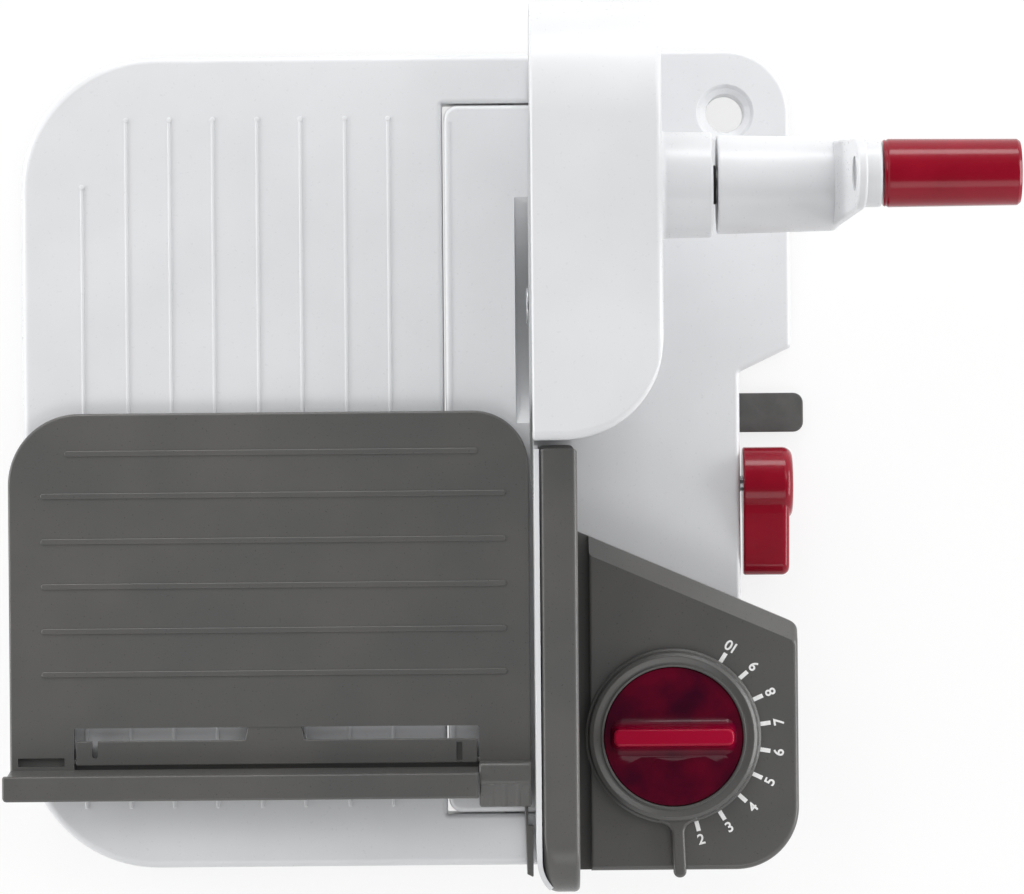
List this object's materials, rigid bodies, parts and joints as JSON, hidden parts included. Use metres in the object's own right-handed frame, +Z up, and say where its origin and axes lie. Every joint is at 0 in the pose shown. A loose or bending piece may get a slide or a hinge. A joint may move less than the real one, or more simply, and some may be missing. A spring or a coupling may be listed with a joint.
{
  "type": "manual food slicer",
  "caption": "Hand-cranked food slicer with a geared round blade, food carriage, thickness dial and stop plate, folding board and suction foot.",
  "frame": {"origin": "middle of the whole object's box at the level of the table, crank grip up and stop near its thinnest setting", "axes": "+X towards the crank grip, along the blade's axis; +Y away from the user, the way the carriage is pushed; +Z up"},
  "size_m": [0.4414, 0.3866, 0.2305],
  "materials": {
    "white_plastic": "moulded white plastic, satin gloss",
    "grey_plastic": "moulded dark grey plastic, fine matt grain",
    "red_plastic": "moulded dark red plastic, polished",
    "black_rubber": "soft moulded rubber",
    "steel": "turned and plated steel",
    "blade_steel": "rolled stainless steel, ground on its edge",
    "gear_plastic": "natural moulded acetal",
    "bronze": "sintered bronze"
  },
  "bodies": {
    "base": {"base_body": "white_plastic", "base_foot_front": "black_rubber", "base_foot_rear": "black_rubber", "barrel_foot_front": "black_rubber", "barrel_foot_rear": "black_rubber", "folding_board": "white_plastic", "board_foot_front": "black_rubber", "board_foot_rear": "black_rubber", "fold_pin_front": "steel", "fold_pin_rear": "steel", "tower_housing": "white_plastic", "blade_side_cover": "white_plastic", "tower_screw_1": "steel", "tower_screw_2": "steel", "tower_screw_3": "steel", "tower_screw_4": "steel", "shell_screw_1": "steel", "shell_screw_2": "steel", "shell_screw_3": "steel", "shell_screw_4": "steel", "blade_bush": "bronze", "blade_axle": "steel", "crank_bush": "bronze", "guide_rod_front": "steel", "guide_rod_rear": "steel", "scroll_pin": "steel", "carriage_rail": "grey_plastic", "suction_cup": "black_rubber"},
    "crank": {"crank_arm": "white_plastic", "crank_shaft": "steel", "drive_gear": "gear_plastic", "crank_screw": "steel", "grip_spindle": "steel", "crank_washer": "black_rubber", "shaft_retaining_ring": "steel"},
    "grip": {"crank_grip": "red_plastic"},
    "blade": {"blade": "blade_steel", "blade_pinion": "gear_plastic", "blade_screw": "steel"},
    "stop": {"stop_carrier": "grey_plastic", "stop_face_sheet": "white_plastic", "dial_housing": "grey_plastic", "housing_screw_1": "steel", "housing_screw_2": "steel", "housing_screw_3": "steel"},
    "dial": {"dial_ring": "grey_plastic", "dial_knob": "red_plastic", "scroll_cam": "gear_plastic", "dial_screw": "steel"},
    "carriage": {"carriage_plate": "grey_plastic", "thumb_guard": "grey_plastic"},
    "flap": {"carriage_flap": "grey_plastic"},
    "lever": {"suction_lever": "red_plastic", "lever_shaft": "steel"},
    "stem": {"suction_stem": "steel"}
  },
  "joints": [
    {"name": "crank_turn", "type": "hinge", "parent": "base", "child": "crank", "pos_m": [0.1, 0.11338, 0.12555], "axis": [1, 0, 0], "continuous": true},
    {"name": "grip_turn", "type": "hinge", "parent": "crank", "child": "grip", "pos_m": [0.19, 0.11338, 0.21555], "axis": [1, 0, 0], "continuous": true},
    {"name": "blade_turn", "type": "hinge", "parent": "base", "child": "blade", "pos_m": [0.01575, 0.06258, 0.0984], "axis": [1, 0, 0], "continuous": true},
    {"name": "stop_slide", "type": "slide", "parent": "base", "child": "stop", "axis": [1, 0, 0], "range_m": [0, 0.00866]},
    {"name": "dial_turn", "type": "hinge", "parent": "stop", "child": "dial", "pos_m": [0.07835, -0.12802, 0.0583], "axis": [0, 0, 1], "range_deg": [0, 145]},
    {"name": "carriage_slide", "type": "slide", "parent": "base", "child": "carriage", "axis": [0, 1, 0], "range_m": [-0.03, 0.15]},
    {"name": "flap_fold", "type": "hinge", "parent": "carriage", "child": "flap", "pos_m": [-0.095, -0.13892, 0.0316], "axis": [1, 0, 0], "range_deg": [0, 90]},
    {"name": "lever_turn", "type": "hinge", "parent": "base", "child": "lever", "pos_m": [0.12, -0.01642, 0.017], "axis": [-1, 0, 0], "range_deg": [0, 140]},
    {"name": "stem_lift", "type": "slide", "parent": "base", "child": "stem", "axis": [0, 0, 1], "range_m": [0, 0.00283], "deforming": ["suction_cup"]}
  ],
  "couplings": [
    {"joint": "blade_turn", "follows": "crank_turn", "ratio": -3},
    {"joint": "stop_slide", "follows": "dial_turn", "m_per_rad": 0.0034219},
    {"joint": "stem_lift", "follows": "lever_turn", "m_per_rad": 0.0011564}
  ]
}
